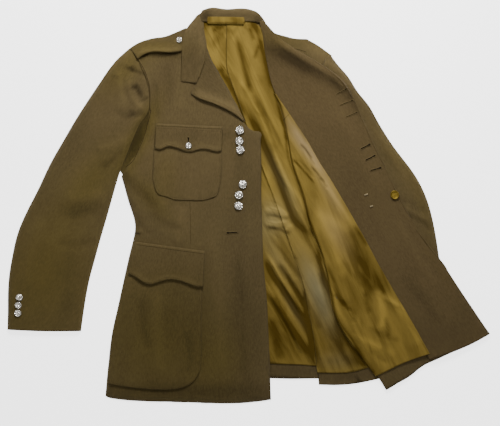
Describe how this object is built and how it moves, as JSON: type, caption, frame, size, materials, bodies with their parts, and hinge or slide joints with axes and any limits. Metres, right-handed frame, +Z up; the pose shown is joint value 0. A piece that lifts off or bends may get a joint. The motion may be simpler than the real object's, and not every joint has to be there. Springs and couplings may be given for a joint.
{
  "type": "service dress jacket",
  "caption": "Single-breasted service jacket laid on its back, right front closed with patch pockets and strap, left front turned out over its sleeve to show facing and satin lining.",
  "frame": {"origin": "centre of the outline on the table, under the jacket", "axes": "+X to the viewer's right across both sleeves, +Y toward the collar, +Z up from the table"},
  "size_m": [1.0372, 0.8538, 0.0187],
  "materials": {
    "wool_serge": "matte olive-brown wool serge",
    "wool_facing": "matte brown wool serge, wrong way of the nap",
    "satin_lining": "gold-olive satin",
    "neck_tape": "matte woven tape",
    "silver_button": "polished silver-coloured plate",
    "gold_button": "worn gilt"
  },
  "bodies": {
    "root": {"side_right": "wool_serge", "back_right": "wool_serge", "back_left": "wool_serge", "side_left": "wool_serge", "sleeve_right_under": "wool_serge", "sleeve_left_under": "wool_serge", "sleeve_right_top": "wool_serge", "sleeve_left_top": "wool_serge", "front_right": "wool_serge", "breast_pocket_right": "wool_serge", "lower_pocket_right": "wool_serge", "breast_flap_right": "wool_serge", "lower_flap_right": "wool_serge", "strap_right": "wool_serge", "lapel_right": "wool_serge", "collar_leaf": "wool_serge", "collar_stand": "wool_serge", "front_left": "wool_serge", "facing_left": "wool_facing", "lining_back_right": "satin_lining", "lining_back_left": "satin_lining", "lining_front_left": "satin_lining", "neck_tape": "neck_tape", "button_front_1": "silver_button", "button_front_2": "silver_button", "button_front_3": "silver_button", "button_front_4": "silver_button", "button_front_5": "silver_button", "button_front_6": "silver_button", "button_strap": "silver_button", "button_breast": "silver_button", "button_cuff_1": "silver_button", "button_cuff_2": "silver_button", "button_cuff_3": "silver_button", "button_gold": "gold_button"}
  },
  "joints": []
}
